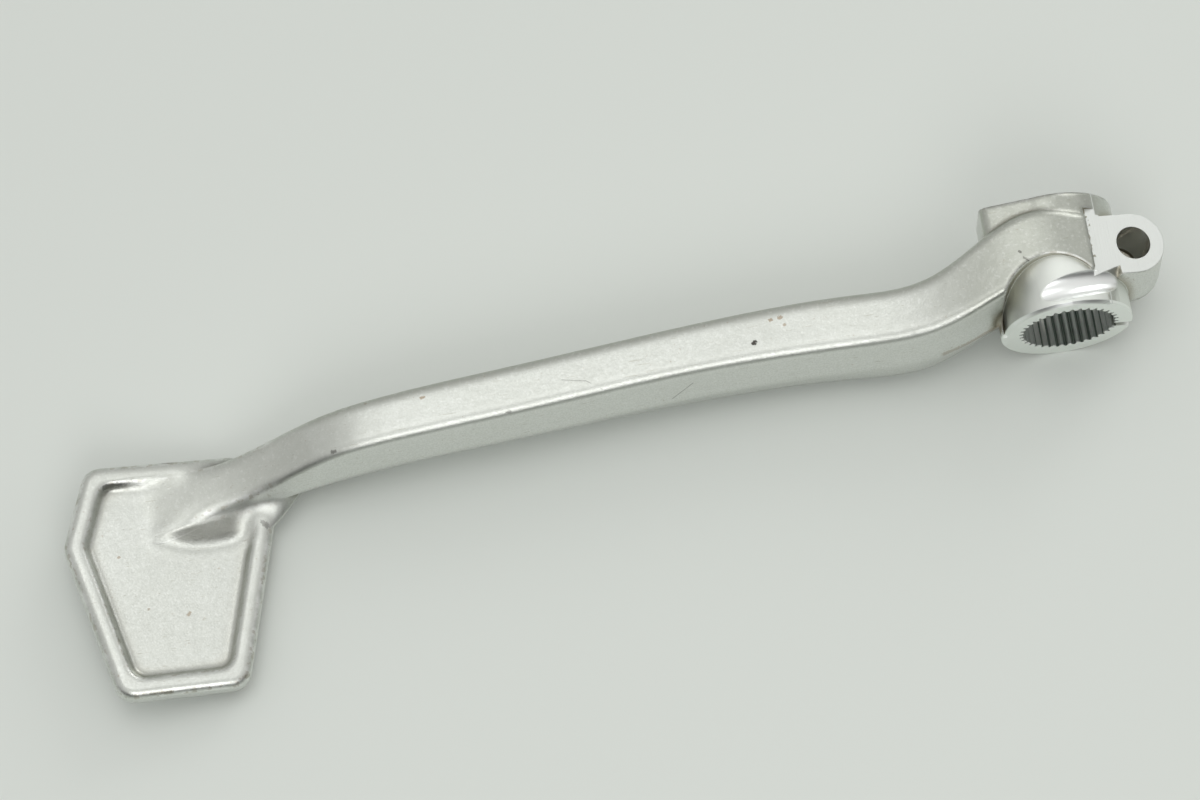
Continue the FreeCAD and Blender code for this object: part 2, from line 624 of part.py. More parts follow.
def make_bore():
    bore = new_body("bore")
    outline = new_sketch(bore, "bore_outline", "XZ_Plane")
    circle_outline(outline, 0.0, "0", 0.0, "0", size("bore_tip_radius"), "Sizes.bore_tip_radius")
    add_pad(bore, "bore_core", outline, THROUGH_TEXT, middle=True)

    tip, root = size("bore_tip_radius"), ROOT_RADIUS
    mouth = math.pi * tip / size("tooth_count") - size("tooth_land") / 2
    mouth_text = "(pi * Sizes.bore_tip_radius / Sizes.tooth_count - Sizes.tooth_land / 2)"
    floor, floor_text = size("groove_floor") / 2, "Sizes.groove_floor / 2"
    inner, inner_text = tip - size("tooth_depth"), "(Sizes.bore_tip_radius - Sizes.tooth_depth)"
    groove = new_sketch(bore, "groove_outline", "XZ_Plane")
    polygon(groove, [
        (-mouth, f"-{mouth_text}", -inner, f"-{inner_text}"),
        (-mouth, f"-{mouth_text}", -tip, "-Sizes.bore_tip_radius"),
        (-floor, f"-{floor_text}", -root, f"-{ROOT_TEXT}"),
        (floor, floor_text, -root, f"-{ROOT_TEXT}"),
        (mouth, mouth_text, -tip, "-Sizes.bore_tip_radius"),
        (mouth, mouth_text, -inner, f"-{inner_text}"),
    ])
    ridge = add_pad(bore, "groove", groove, THROUGH_TEXT, middle=True)
    pattern = bore.newObject("PartDesign::PolarPattern", "serrations")
    pattern.Originals = [ridge]
    pattern.Axis = (origin_feature(bore, "Y_Axis"), [""])
    pattern.Angle = 360
    pattern.setExpression("Occurrences", "Sizes.tooth_count")
    bore.Tip = pattern
    doc.recompute()
    return bore


def make_slot():
    slot = new_body("slot")
    outline = die_sketch(slot, "slot_outline", "0")
    half = size("boss_length") / 2 + size("slot_width")
    half_text = "(Sizes.boss_length / 2 + Sizes.slot_width)"
    box_outline(outline, 0.0, "0", THROUGH, THROUGH_TEXT, -half, f"-{half_text}", half, half_text)
    add_pad(slot, "slot_gap", outline, "Sizes.slot_width", middle=True)
    return slot


def make_hole():
    hole = new_body("bolt_hole")
    outline = die_sketch(hole, "bolt_outline", "0")
    circle_outline(
        outline, size("bolt_reach"), "Sizes.bolt_reach", size("ear_inboard"), "Sizes.ear_inboard",
        size("bolt_radius"), "Sizes.bolt_radius")
    add_pad(hole, "bolt_core", outline, THROUGH_TEXT, middle=True)
    return hole


# The whole forging, then what is milled and broached out of it

def make_pedal():
    hub = join("hub", make_arm(), make_boss())
    ring = overlap("turned_ring", hub, make_collar())
    forging = join("turned", cut_away("relieved", hub, make_relief()), ring)
    rough_seat = "Sizes.seat_height + Sizes.seat_stock"
    upper = make_jaw("upper_jaw", rough_seat, rough_seat, True)
    lower = make_jaw("lower_jaw", "-Sizes.ear_drop", "Sizes.ear_drop", False)
    forging = join("eared", forging, join("jaws", upper, lower))
    forging = cut_away("seated", forging, make_seat())
    forging = cut_away("scooped", forging, make_scoop())
    forging = cut_away("broached", forging, make_bore())
    forging = cut_away("slotted", forging, make_slot())
    forging = cut_away("drilled", forging, make_hole())
    pedal = join("pedal", forging, join("foot", make_pad(), make_flank()))
    pedal.Label = NODE
    return pedal


def check_document(pedal):
    for item in doc.Objects:
        if "Invalid" in item.State or "Error" in item.State:
            raise RuntimeError(f"{item.Name}: {item.State}")
        if hasattr(item, "Shape") and not item.Shape.isNull() and not item.Shape.isValid():
            raise RuntimeError(f"{item.Name} isn't a valid shape")
    if len(pedal.Shape.Solids) != 1:
        raise RuntimeError(f"{NODE} has {len(pedal.Shape.Solids)} solids")


brake_pedal = make_pedal()
check_document(brake_pedal)
os.makedirs("parts", exist_ok=True)
brake_pedal.Shape.exportStep(f"parts/{brake_pedal.Label}.step")
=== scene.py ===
"""Looks of the forged brake pedal, lying on its foot side on a pale table, in the row's frame.

Sizes are in millimetres unless a comment says otherwise. A pair of limits says where a mask is 0 and
where it is 1; the first may be the greater.
"""
import math

import bpy
from mathutils import Matrix, Vector

MM = 0.001

# Camera: angles in degrees, and where the bore's near end falls in the picture
CAMERA_ELEVATION = 69.7
CAMERA_ROLL = 8.6
CAMERA_DEPTH = 900.0
CAMERA_CLIP = 10.0
LENS = 113.0
SENSOR = 36.0
PICTURE = (1200, 800)
BORE_END_PIXEL = (1069, 328)

# Table: its size is in metres
TABLE_LEVEL = -15.85
TABLE_SIZE = 6.0
TABLE_COLOUR = (0.705, 0.74, 0.70, 1)
TABLE_ROUGHNESS = 0.45

# Lamps, in metres and watts: name, place, width, power
LAMPS = [
    ("overhead", (-0.15, 0.25, 1.5), 1.0, 2.2),
    ("near_side", (-0.05, -1.05, 0.9), 0.8, 3.6),
    ("far_right", (0.75, 1.05, 0.75), 0.7, 2.4),
]
LAMP_TARGET = Vector((-0.1, -0.02, 0))

# Room: its brightness overhead and at the horizon, which is dimmer on the near side.
# The limits are of the direction's Z and of its Y.
ROOM_COLOUR = (1.0, 1.0, 0.985, 1)
OVERHEAD_LIGHT = 0.76
FAR_LIGHT = 0.6
NEAR_LIGHT = 0.06
HORIZON_TO_OVERHEAD = (0.32, 0.75)
NEAR_TO_FAR = (-0.7, 0.1)

# Places of the machined faces; the tilt is in degrees
DIE_TILT = 11.0
BORE_TIP = 11.0
BORE_ROOT = 12.0
BOSS_END = 14.25
BOSS_LEFT = -17.0
COLLAR_RADIUS = 15.4
COLLAR_BEVEL = 0.8
SEAT_LEVEL = 13.8
SEAT_EDGE = 4.0
SEAT_TEAR = 5.0
BOLT_REACH = 15.2
BOLT_SIDE = 0.75
BOLT_RADIUS = 4.15

# Limits of the machined faces, counted from those places
BOSS_LIMITS = (-1.0, 0.0)
SEAT_LIMITS = (0.12, 0.05)
SEAT_EDGE_LIMITS = (0.45, 0.75)
COLLAR_LIMITS = (0.1, 0.05)
NEAR_END_LIMITS = (0.1, 0.0)
FAR_END_LIMITS = (-0.1, -0.05)
WALL_LIMITS = (0.15, 0.05)
MOUTH_LIMITS = (-0.03, -0.15)
GROOVE_LIMITS = (0.45, 0.85)
HOLLOW_RIM_LIMITS = (0.0, -0.15)
HOLLOW_BORE_LIMITS = (0.1, 0.2)
HOLLOW_END_LIMITS = (0.2, 0.4)

# Limits of the collar and the hollow in height, Z, and in depth, Y
COLLAR_HEIGHT = (1.0, 3.0)
COLLAR_DEPTH = (4.0, 2.0)
HOLLOW_HEIGHT = (6.0, 7.0)
HOLLOW_DEPTH = (-3.0, -4.0)

# Colours of the forged skin and its marks, and tones that paint shade and light on it
FORGED = (0.617, 0.637, 0.60, 1)
FORGED_DULL = (0.512, 0.527, 0.48, 1)
# Painted shade: a darker tone laid on the boss's hump and on the arm's far rounding
PAINTED_SHADE_TONE = (0.42, 0.437, 0.385, 1)
# Real wear, flecks and mottle, and painted light on the steep sides
WORN_AND_PAINTED_LIGHT = (0.90, 0.91, 0.89, 1)
# Real grime in scratches, nicks and marks, and with painted shade in the creases
GRIME_AND_SHADE_TONE = (0.27, 0.24, 0.16, 1)
STAIN = (0.30, 0.22, 0.14, 1)
PIT = (0.05, 0.045, 0.04, 1)

# Machined faces: colour and roughness; the grooves' dark colour is painted shade on the floors between
# the bore's teeth
FINISHES = {
    "collar": ((0.80, 0.83, 0.785, 1), 0.5),
    "ends": ((0.91, 0.94, 0.905, 1), 0.42),
    "hollow": ((0.95, 0.97, 0.955, 1), 0.30),
    "seat": ((0.76, 0.785, 0.755, 1), 0.45),
    "bore": ((0.93, 0.95, 0.93, 1), 0.28),
    # Painted shade on the floors between the bore's teeth
    "grooves": ((0.27, 0.31, 0.28, 1), 0.4),
    "hole": ((0.96, 0.95, 0.90, 1), 0.22),
}

# Layers of the forged skin from the lowest up: mask, colour, strength. The hump, the far edge and the
# creases get painted shade, the steep sides painted light, and the creases brown grime too
LAYERS = [
    # Painted shade on the boss's hump
    ("hump", PAINTED_SHADE_TONE, 0.85),
    # Painted light on the steep sides
    ("steep", WORN_AND_PAINTED_LIGHT, 0.5),
    # Painted shade on the arm's far rounding
    ("far_edge", PAINTED_SHADE_TONE, 0.7),
    ("mottle", WORN_AND_PAINTED_LIGHT, 0.07),
    ("grain", FORGED_DULL, 0.35),
    ("fleck", WORN_AND_PAINTED_LIGHT, 0.18),
    ("speck", STAIN, 0.35),
    ("scratch", GRIME_AND_SHADE_TONE, 0.3),
    ("worn", WORN_AND_PAINTED_LIGHT, 0.6),
    ("nicked", GRIME_AND_SHADE_TONE, 0.42),
    # Brown grime and painted shade in the creases, and painted shade in the valley
    ("dirt", GRIME_AND_SHADE_TONE, 0.7),
]

# How much the clouds and the top of the arm's root dull the skin, and how much painted shade darkens the
# valley
CLOUD_DULLNESS = 0.3
ROOT_DULLNESS = 0.45
VALLEY_PAINTED_SHADE = 0.25

# Marks on the skin: from, to, half width, colour, strength
MARKS = [
    ((-75.2, -8.9, 7.6), (-75.0, -8.7, 7.6), 0.62, PIT, 0.95),
    ((-70.5, -3.7, 7.5), (-70.2, -3.6, 7.5), 0.45, STAIN, 0.7),
    ((-68.3, -3.5, 7.5), (-67.9, -3.3, 7.5), 0.55, STAIN, 0.7),
    ((-67.4, -5.4, 7.4), (-67.2, -5.3, 7.4), 0.40, STAIN, 0.6),
    ((-10.2, 0.8, 16.3), (-9.9, 0.4, 16.3), 0.35, PIT, 0.6),
    ((-9.4, -1.0, 16.4), (-8.4, -2.1, 16.3), 0.30, PIT, 0.5),
    ((-178.0, -19.6, 5.9), (-177.2, -19.5, 6.0), 0.45, PIT, 0.6),
    ((-155.3, -10.2, 7.9), (-154.6, -10.1, 7.9), 0.40, STAIN, 0.7),
    ((-135.6, -16.8, 7.4), (-134.8, -16.7, 7.4), 0.35, PIT, 0.5),
    ((-232.5, -34.1, -4.7), (-232.3, -34.0, -4.7), 0.35, STAIN, 0.6),
    ((-217.7, -49.9, -7.6), (-217.3, -49.5, -7.6), 0.45, STAIN, 0.6),
    ((-226.8, -47.7, -5.8), (-226.6, -47.6, -5.8), 0.30, STAIN, 0.5),
    ((-121.6, -11.05, 8.05), (-116.0, -12.2, 8.1), 0.16, PIT, 0.35),
    ((-116.0, -12.2, 8.1), (-112.5, -14.7, 7.7), 0.16, PIT, 0.35),
    ((-90.85, -14.8, 2.7), (-96.15, -16.2, -2.05), 0.18, PIT, 0.4),
    ((-30.0, -15.0, -1.8), (-16.5, -11.0, -0.2), 1.1, STAIN, 0.45),
    ((-234.0, -16.6, -2.9), (-227.5, -15.4, -4.2), 0.8, PIT, 0.55),
    ((-197.6, -29.3, -9.0), (-196.8, -30.2, -9.0), 0.8, PIT, 0.5),
    ((-199.3, -52.5, -9.2), (-199.5, -53.6, -9.3), 0.55, GRIME_AND_SHADE_TONE, 0.6),
    ((-201.0, -58.0, -9.0), (-201.4, -59.6, -9.0), 0.7, GRIME_AND_SHADE_TONE, 0.6),
    ((-203.2, -64.4, -8.6), (-203.5, -65.2, -8.6), 0.6, GRIME_AND_SHADE_TONE, 0.6),
    ((-231.0, -68.2, -3.4), (-223.5, -69.0, -4.8), 0.55, GRIME_AND_SHADE_TONE, 0.5),
    ((-208.5, -67.6, -7.6), (-204.0, -66.6, -8.6), 0.6, GRIME_AND_SHADE_TONE, 0.5),
]

# How far a mark's outline wanders and where it fades, in half widths
MARK_WANDER = 2.0
MARK_LIMITS = (1.1, 0.6)

# Noise patterns: scale, detail and the two limits of the mask
PATTERNS = {
    "cloud": (0.05, 2.0, 0.3, 0.7),
    "mottle": (0.6, 6.0, 0.42, 0.65),
    "grain": (2.4, 3.0, 0.3, 0.7),
    "fleck": (1.3, 5.0, 0.54, 0.70),
    "speck": (0.9, 2.0, 0.70, 0.78),
    "scratch": (1.0, 1.0, 0.70, 0.76),
    "wear": (0.35, 3.0, 0.35, 0.65),
    "nicks": (0.7, 3.0, 0.53, 0.63),
}

# Noise that isn't made into a mask: scale and detail
TEAR_NOISE = (0.8, 3.0)
WANDER_NOISE = (2.4, 2.0)
SKIN_NOISE = (2.2, 4.0)
RIPPLE_NOISE = (0.22, 2.0)
MILLING_NOISE = (1.0, 2.0)
NOISE_MIDDLE = 0.5

# How noise is drawn out: along the arm for its scratches, across it for the seat's milling lines
SCRATCH_STRETCH = (0.12, 2.6, 2.6)
MILLING_STRETCH = (4.0, 0.12, 0.12)

# Heights of the bumps
SKIN_HEIGHT = 0.025
RIPPLE_HEIGHT = 0.06
MILLING_HEIGHT = 0.06

# Roughness of the forged skin, and what the grain and the valley add to it
FORGED_ROUGHNESS = 0.28
GRAIN_ROUGHNESS = 0.09
VALLEY_ROUGHNESS = 0.12

# Radii that the shading gives to edges and corners, and the samples taken for them
MACHINED_EDGE = 0.25
MACHINED_EDGE_SAMPLES = 4
FORGED_EDGE = 1.6
ARM_EDGE = 3.4
ROOT_FILLET = 5.5
FORGED_EDGE_SAMPLES = 12

# Creases: how far the shading looks for another face, and the limits of its openness, 1 in the open;
# where it is closed, brown grime and painted shade darken the skin
CREASE_REACH = 4.0
CREASE_SAMPLES = 8
CREASE_LIMITS = (0.95, 0.60)
EDGE_OPENNESS = (0.6, 0.85)
PAD_EDGE_OPENNESS = (0.86, 0.95)

# Limits by direction: the normal's Z, the rounded normal's Y, and the cosine of the turn between the two
STEEP_LIMITS = (0.5, 0.25)
PAD_EDGE_TOP = (0.95, 0.8)
PAD_EDGE_SIDE = (0.1, 0.3)
FAR_EDGE_LIMITS = (0.02, 0.4)
EDGE_TURN = (0.985, 0.90)

# Limits of the arm, the pad and the boss's hump along X, and of the hump in height
ARM_LEFT = (-190.0, -180.0)
ARM_RIGHT = (-20.0, -30.0)
PAD_RIGHT = (-190.0, -196.0)
HUMP_LEFT = (-40.0, -14.0)
HUMP_RIGHT = (14.0, 8.0)
HUMP_HEIGHT = (3.0, 9.0)

# The arm's root, where its sides run out into the pad in wide fillets: two lines and how far they reach
ROOT = ((-222.0, -25.0, -6.0), (-200.0, -22.0, -7.0))
ROOT_LIMITS = (14.4, 6.3)
ROOT_TOP = ((-219.0, -21.5, -6.0), (-188.0, -18.0, 1.0))
ROOT_TOP_LIMITS = (8.5, 5.0)

# The valley on the root's near side: its foot is a shallow arc, its upper edge a straight ridge.
# Between them the shading turns the normal as a wide fillet would, up to a tilt in degrees.
FOOT_MIDDLE = (-212.0, -33.3)
FOOT_BEND = 0.016
RIDGE_MIDDLE = (-213.0, -27.6)
RIDGE_SLOPE = 0.21
VALLEY_TILT = 48.0
VALLEY_LEAN = 0.05

# Limits of the valley: along X, under the ridge, and past the foot for its start, its tilt and its shade
VALLEY_LEFT = (-229.0, -214.0)
VALLEY_RIGHT = (-199.0, -206.0)
VALLEY_TOP = (-0.6, 1.0)
VALLEY_START = (-4.0, -2.0)
VALLEY_RISE = (-3.4, 2.4)
VALLEY_SHADE = (0.3, 2.5)

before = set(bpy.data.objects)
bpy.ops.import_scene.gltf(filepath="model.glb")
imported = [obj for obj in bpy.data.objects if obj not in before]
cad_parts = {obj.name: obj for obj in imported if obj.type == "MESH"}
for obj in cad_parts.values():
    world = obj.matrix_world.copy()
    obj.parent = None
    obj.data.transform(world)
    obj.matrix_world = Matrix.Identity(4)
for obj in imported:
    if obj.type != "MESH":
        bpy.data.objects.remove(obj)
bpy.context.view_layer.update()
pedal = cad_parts["brake_pedal"]


class Graph:
    """Adds nodes to one material. A value is a number, a colour, a vector or another node's socket."""

    def __init__(self, name):
        self.material = bpy.data.materials.new(name)
        self.material.use_nodes = True
        self.tree = self.material.node_tree
        self.shader = self.tree.nodes["Principled BSDF"]

    def feed(self, socket, value):
        if isinstance(value, bpy.types.NodeSocket):
            self.tree.links.new(value, socket)
        else:
            socket.default_value = value

    def node(self, kind, settings, *values):
        made = self.tree.nodes.new(kind)
        for name, value in settings.items():
            setattr(made, name, value)
        for socket, value in zip(made.inputs, values):
            self.feed(socket, value)
        return made

    def calc(self, operation, *values):
        return self.node("ShaderNodeMath", {"operation": operation}, *values).outputs[0]

    def product(self, first, *others):
        for other in others:
            first = self.calc("MULTIPLY", first, other)
        return first

    def either(self, first, *others):
        for other in others:
            first = self.calc("MAXIMUM", first, other)
        return first

    def radius(self, first, second):
        """Distance from the middle of a plane with two axes."""
        squares = self.calc("ADD", self.product(first, first), self.product(second, second))
        return self.calc("SQRT", squares)

    def ramp(self, value, low, high):
        """0 at low, 1 at high and smooth between; low may be the greater."""
        settings = {"interpolation_type": "SMOOTHSTEP"}
        return self.node("ShaderNodeMapRange", settings, value, low, high).outputs[0]

    def ramp_from(self, value, origin, limits):
        """A ramp whose two limits are counted from an origin."""
        return self.ramp(value, origin + limits[0], origin + limits[1])

    def vector(self, operation, *values):
        return self.node("ShaderNodeVectorMath", {"operation": operation}, *values)

    def scaled(self, vector, factor):
        made = self.vector("SCALE", vector)
        self.feed(made.inputs["Scale"], factor)
        return made.outputs[0]

    def parts(self, vector):
        """The X, Y and Z of a vector."""
        return self.node("ShaderNodeSeparateXYZ", {}, vector).outputs

    def stretched(self, place, scale):
        """The place with each axis scaled by itself."""
        made = self.node("ShaderNodeMapping", {}, place)
        made.inputs["Scale"].default_value = scale
        return made.outputs[0]

    def noise(self, place, scale, detail):
        made = self.tree.nodes.new("ShaderNodeTexNoise")
        self.feed(made.inputs["Vector"], place)
        self.feed(made.inputs["Scale"], scale)
        self.feed(made.inputs["Detail"], detail)
        return made.outputs["Fac"]

    def pattern(self, place, name):
        """One of the noise patterns as a mask."""
        scale, detail, low, high = PATTERNS[name]
        return self.ramp(self.noise(place, scale, detail), low, high)

    def bevel(self, radius, samples):
        """The normal with its edges rounded to a radius in metres."""
        return self.node("ShaderNodeBevel", {"samples": samples}, radius).outputs[0]

    def blend(self, factor, first, second, kind="RGBA"):
        made = self.node("ShaderNodeMix", {"data_type": kind}, factor)
        ends = [socket for socket in made.inputs if socket.enabled and socket.name in "AB"]
        self.feed(ends[0], first)
        self.feed(ends[1], second)
        return [socket for socket in made.outputs if socket.enabled][0]


def make_camera():
    """The camera of the photo, placed so that the bore's near end falls on its pixel."""
    tilt = math.radians(CAMERA_ELEVATION)
    roll = math.radians(CAMERA_ROLL)
    forward = Vector((0, math.cos(tilt), -math.sin(tilt)))
    level = Vector((1, 0, 0))
    lift = Vector((0, math.sin(tilt), math.cos(tilt)))
    right = math.cos(roll) * level - math.sin(roll) * lift
    up = math.sin(roll) * level + math.cos(roll) * lift
    focal = LENS / SENSOR * PICTURE[0]
    across = (BORE_END_PIXEL[0] - PICTURE[0] / 2) / focal
    above = (PICTURE[1] / 2 - BORE_END_PIXEL[1]) / focal
    bore_end = Vector((0.0, -BOSS_END, 0.0))
    eye = bore_end - CAMERA_DEPTH * (forward + right * across + up * above)
    data = bpy.data.cameras.new("camera")
    data.lens = LENS
    data.sensor_width = SENSOR
    data.clip_start = CAMERA_CLIP * MM
    camera = bpy.data.objects.new("camera", data)
    turn = Matrix((right, up, -forward)).transposed().to_4x4()
    camera.matrix_world = Matrix.Translation(eye * MM) @ turn
    bpy.context.scene.collection.objects.link(camera)
    bpy.context.scene.camera = camera


def make_table():
    """The plain table that the pedal lies on, which is staging and no piece of it."""
    half = TABLE_SIZE / 2
    mesh = bpy.data.meshes.new("table")
    corners = [(-half, -half, 0), (half, -half, 0), (half, half, 0), (-half, half, 0)]
    mesh.from_pydata(corners, [], [(0, 1, 2, 3)])
    table = bpy.data.objects.new("table", mesh)
    table.location.z = TABLE_LEVEL * MM
    bpy.context.scene.collection.objects.link(table)
    material = bpy.data.materials.new("table")
    material.use_nodes = True
    shader = material.node_tree.nodes["Principled BSDF"]
    shader.inputs["Base Color"].default_value = TABLE_COLOUR
    shader.inputs["Roughness"].default_value = TABLE_ROUGHNESS
    mesh.materials.append(material)


def make_lamps():
    """Round lamps that all face one point on the table."""
    for name, place, width, power in LAMPS:
        data = bpy.data.lights.new(name, "AREA")
        data.shape = "DISK"
        data.size = width
        data.energy = power
        lamp = bpy.data.objects.new(name, data)
        lamp.location = place
        lamp.rotation_euler = (LAMP_TARGET - Vector(place)).to_track_quat("-Z", "Y").to_euler()
        bpy.context.scene.collection.objects.link(lamp)


def brightness_range(tree, value, limits, brightest):
    """A node that goes up to its brightest as the value goes from one limit to the other."""
    made = tree.nodes.new("ShaderNodeMapRange")
    made.inputs["From Min"].default_value = limits[0]
    made.inputs["From Max"].default_value = limits[1]
    made.inputs["To Max"].default_value = brightest
    tree.links.new(value, made.inputs["Value"])
    return made


def make_room():
    """A pale room, bright overhead and dim along the horizon on the near side."""
    world = bpy.data.worlds.new("studio")
    world.use_nodes = True
    tree = world.node_tree
    direction = tree.nodes.new("ShaderNodeTexCoord")
    split = tree.nodes.new("ShaderNodeSeparateXYZ")
    tree.links.new(direction.outputs["Generated"], split.inputs[0])
    horizon = brightness_range(tree, split.outputs["Y"], NEAR_TO_FAR, FAR_LIGHT)
    horizon.inputs["To Min"].default_value = NEAR_LIGHT
    room = brightness_range(tree, split.outputs["Z"], HORIZON_TO_OVERHEAD, OVERHEAD_LIGHT)
    tree.links.new(horizon.outputs[0], room.inputs["To Min"])
    background = tree.nodes["Background"]
    background.inputs["Color"].default_value = ROOM_COLOUR
    tree.links.new(room.outputs[0], background.inputs["Strength"])
    bpy.context.scene.world = world


def segment_distance(graph, place, start, end):
    """Distance from a stretch of line."""
    start = Vector(start)
    along = Vector(end) - start
    offset = graph.vector("SUBTRACT", place, start).outputs[0]
    share = graph.vector("DOT_PRODUCT", offset, along / along.length_squared).outputs["Value"]
    share = graph.calc("MINIMUM", graph.calc("MAXIMUM", share, 0.0), 1.0)
    return graph.vector("DISTANCE", offset, graph.scaled(along, share)).outputs["Value"]


def machined_faces(graph, place, x, y, z):
    """A mask for each of the machined faces."""
    tilt = math.radians(DIE_TILT)
    across = graph.calc("SUBTRACT", graph.product(x, math.cos(tilt)), graph.product(z, math.sin(tilt)))
    level = graph.calc("ADD", graph.product(x, math.sin(tilt)), graph.product(z, math.cos(tilt)))
    radius = graph.radius(x, z)
    at_boss = graph.ramp_from(x, BOSS_LEFT, BOSS_LIMITS)

    from_seat = graph.calc("ABSOLUTE", graph.calc("SUBTRACT", level, SEAT_LEVEL))
    tear = graph.calc("SUBTRACT", graph.noise(place, *TEAR_NOISE), NOISE_MIDDLE)
    torn = graph.calc("ADD", across, graph.product(tear, SEAT_TEAR))
    past_edge = graph.calc("SUBTRACT", torn, SEAT_EDGE)
    seat = graph.product(graph.ramp(from_seat, *SEAT_LIMITS), graph.ramp(past_edge, *SEAT_EDGE_LIMITS))

    from_collar = graph.calc("ABSOLUTE", graph.calc("SUBTRACT", radius, COLLAR_RADIUS))
    collar = graph.product(
        at_boss,
        graph.ramp(from_collar, *COLLAR_LIMITS),
        graph.ramp(z, *COLLAR_HEIGHT),
        graph.ramp(y, *COLLAR_DEPTH))
    near_end = graph.ramp_from(y, COLLAR_BEVEL - BOSS_END, NEAR_END_LIMITS)
    far_end = graph.ramp_from(y, BOSS_END, FAR_END_LIMITS)
    ends = graph.product(at_boss, graph.either(near_end, far_end))

    hollow = graph.product(
        graph.ramp_from(radius, COLLAR_RADIUS, HOLLOW_RIM_LIMITS),
        graph.ramp_from(radius, BORE_ROOT, HOLLOW_BORE_LIMITS),
        graph.ramp(z, *HOLLOW_HEIGHT),
        graph.ramp_from(y, -BOSS_END, HOLLOW_END_LIMITS),
        graph.ramp(y, *HOLLOW_DEPTH),
        graph.calc("SUBTRACT", 1.0, seat))

    bore = graph.product(
        graph.ramp_from(radius, BORE_ROOT, WALL_LIMITS),
        graph.ramp_from(graph.calc("ABSOLUTE", y), BOSS_END, MOUTH_LIMITS))
    # Painted shade: the floors between the teeth, darker than the lit flanks
    grooves = graph.product(bore, graph.ramp_from(radius, BORE_TIP, GROOVE_LIMITS))
    bolt_across = graph.calc("SUBTRACT", across, BOLT_REACH)
    bolt_side = graph.calc("SUBTRACT", y, BOLT_SIDE)
    hole = graph.product(
        graph.ramp_from(graph.radius(bolt_across, bolt_side), BOLT_RADIUS, WALL_LIMITS),
        graph.ramp_from(level, SEAT_LEVEL, MOUTH_LIMITS))
    return {
        "collar": collar,
        "ends": ends,
        "hollow": hollow,
        "seat": seat,
        "bore": bore,
        "grooves": grooves,
        "hole": hole,
    }


def valley_fillet(graph, x, y):
    """The valley beside the arm's root: where its fillet is, where it is in shade, and its normal."""
    from_middle = graph.calc("SUBTRACT", x, FOOT_MIDDLE[0])
    foot = graph.calc("ADD", FOOT_MIDDLE[1], graph.product(from_middle, from_middle, FOOT_BEND))
    ridge_start = RIDGE_MIDDLE[1] - RIDGE_MIDDLE[0] * RIDGE_SLOPE
    ridge = graph.calc("ADD", ridge_start, graph.product(x, RIDGE_SLOPE))
    past_foot = graph.calc("SUBTRACT", y, foot)
    under_ridge = graph.calc("SUBTRACT", ridge, y)
    inside = graph.product(
        graph.ramp(under_ridge, *VALLEY_TOP), graph.ramp(x, *VALLEY_RIGHT), graph.ramp(x, *VALLEY_LEFT))
    tilt = graph.product(graph.ramp(past_foot, *VALLEY_RISE), math.radians(VALLEY_TILT))
    away = graph.calc("MULTIPLY", graph.calc("SINE", tilt), -1.0)
    up = graph.calc("COSINE", tilt)
    normal = graph.node("ShaderNodeCombineXYZ", {}, VALLEY_LEAN, away, up).outputs[0]
    share = graph.product(inside, graph.ramp(past_foot, *VALLEY_START))
    shade = graph.product(inside, graph.ramp(past_foot, *VALLEY_SHADE))
    return share, shade, normal


def skin_layers(graph, place, on_arm, at_root, shade, surface, rounded):
    """A mask for each layer of the forged skin, some of which paint shade and light."""
    x, _, z = graph.parts(place)
    upright = graph.parts(surface)[2]
    occlusion = graph.node("ShaderNodeAmbientOcclusion", {"samples": CREASE_SAMPLES})
    graph.feed(occlusion.inputs["Distance"], CREASE_REACH * MM)
    openness = occlusion.outputs["AO"]
    away_from_root = graph.calc("SUBTRACT", 1.0, at_root)
    # Brown grime and painted shade where little of the room is open
    crease = graph.product(graph.ramp(openness, *CREASE_LIMITS), away_from_root)

    turn = graph.vector("DOT_PRODUCT", rounded, surface).outputs["Value"]
    open_edge = graph.product(
        graph.ramp(turn, *EDGE_TURN), graph.ramp(openness, *EDGE_OPENNESS), away_from_root)
    pad_edge = graph.product(
        graph.ramp(x, *PAD_RIGHT),
        graph.ramp(upright, *PAD_EDGE_TOP),
        graph.ramp(upright, *PAD_EDGE_SIDE),
        graph.ramp(openness, *PAD_EDGE_OPENNESS))
    edge = graph.either(open_edge, pad_edge)

    layers = {
        # Painted shade: the boss's hump made darker
        "hump": graph.product(
            graph.ramp(x, *HUMP_LEFT), graph.ramp(x, *HUMP_RIGHT), graph.ramp(z, *HUMP_HEIGHT)),
        # Painted light: steep faces made lighter
        "steep": graph.ramp(upright, *STEEP_LIMITS),
        # Painted shade: the arm's rounding that faces the far side made darker
        "far_edge": graph.product(on_arm, graph.ramp(graph.parts(rounded)[1], *FAR_EDGE_LIMITS)),
        "scratch": graph.pattern(graph.stretched(place, SCRATCH_STRETCH), "scratch"),
        "worn": graph.product(edge, graph.pattern(place, "wear")),
        "nicked": graph.product(edge, graph.pattern(place, "nicks")),
        # Brown grime and painted shade in the creases, and painted shade in the valley
        "dirt": graph.either(crease, graph.product(shade, VALLEY_PAINTED_SHADE)),
    }
    for name in ("mottle", "grain", "fleck", "speck"):
        layers[name] = graph.pattern(place, name)
    return layers


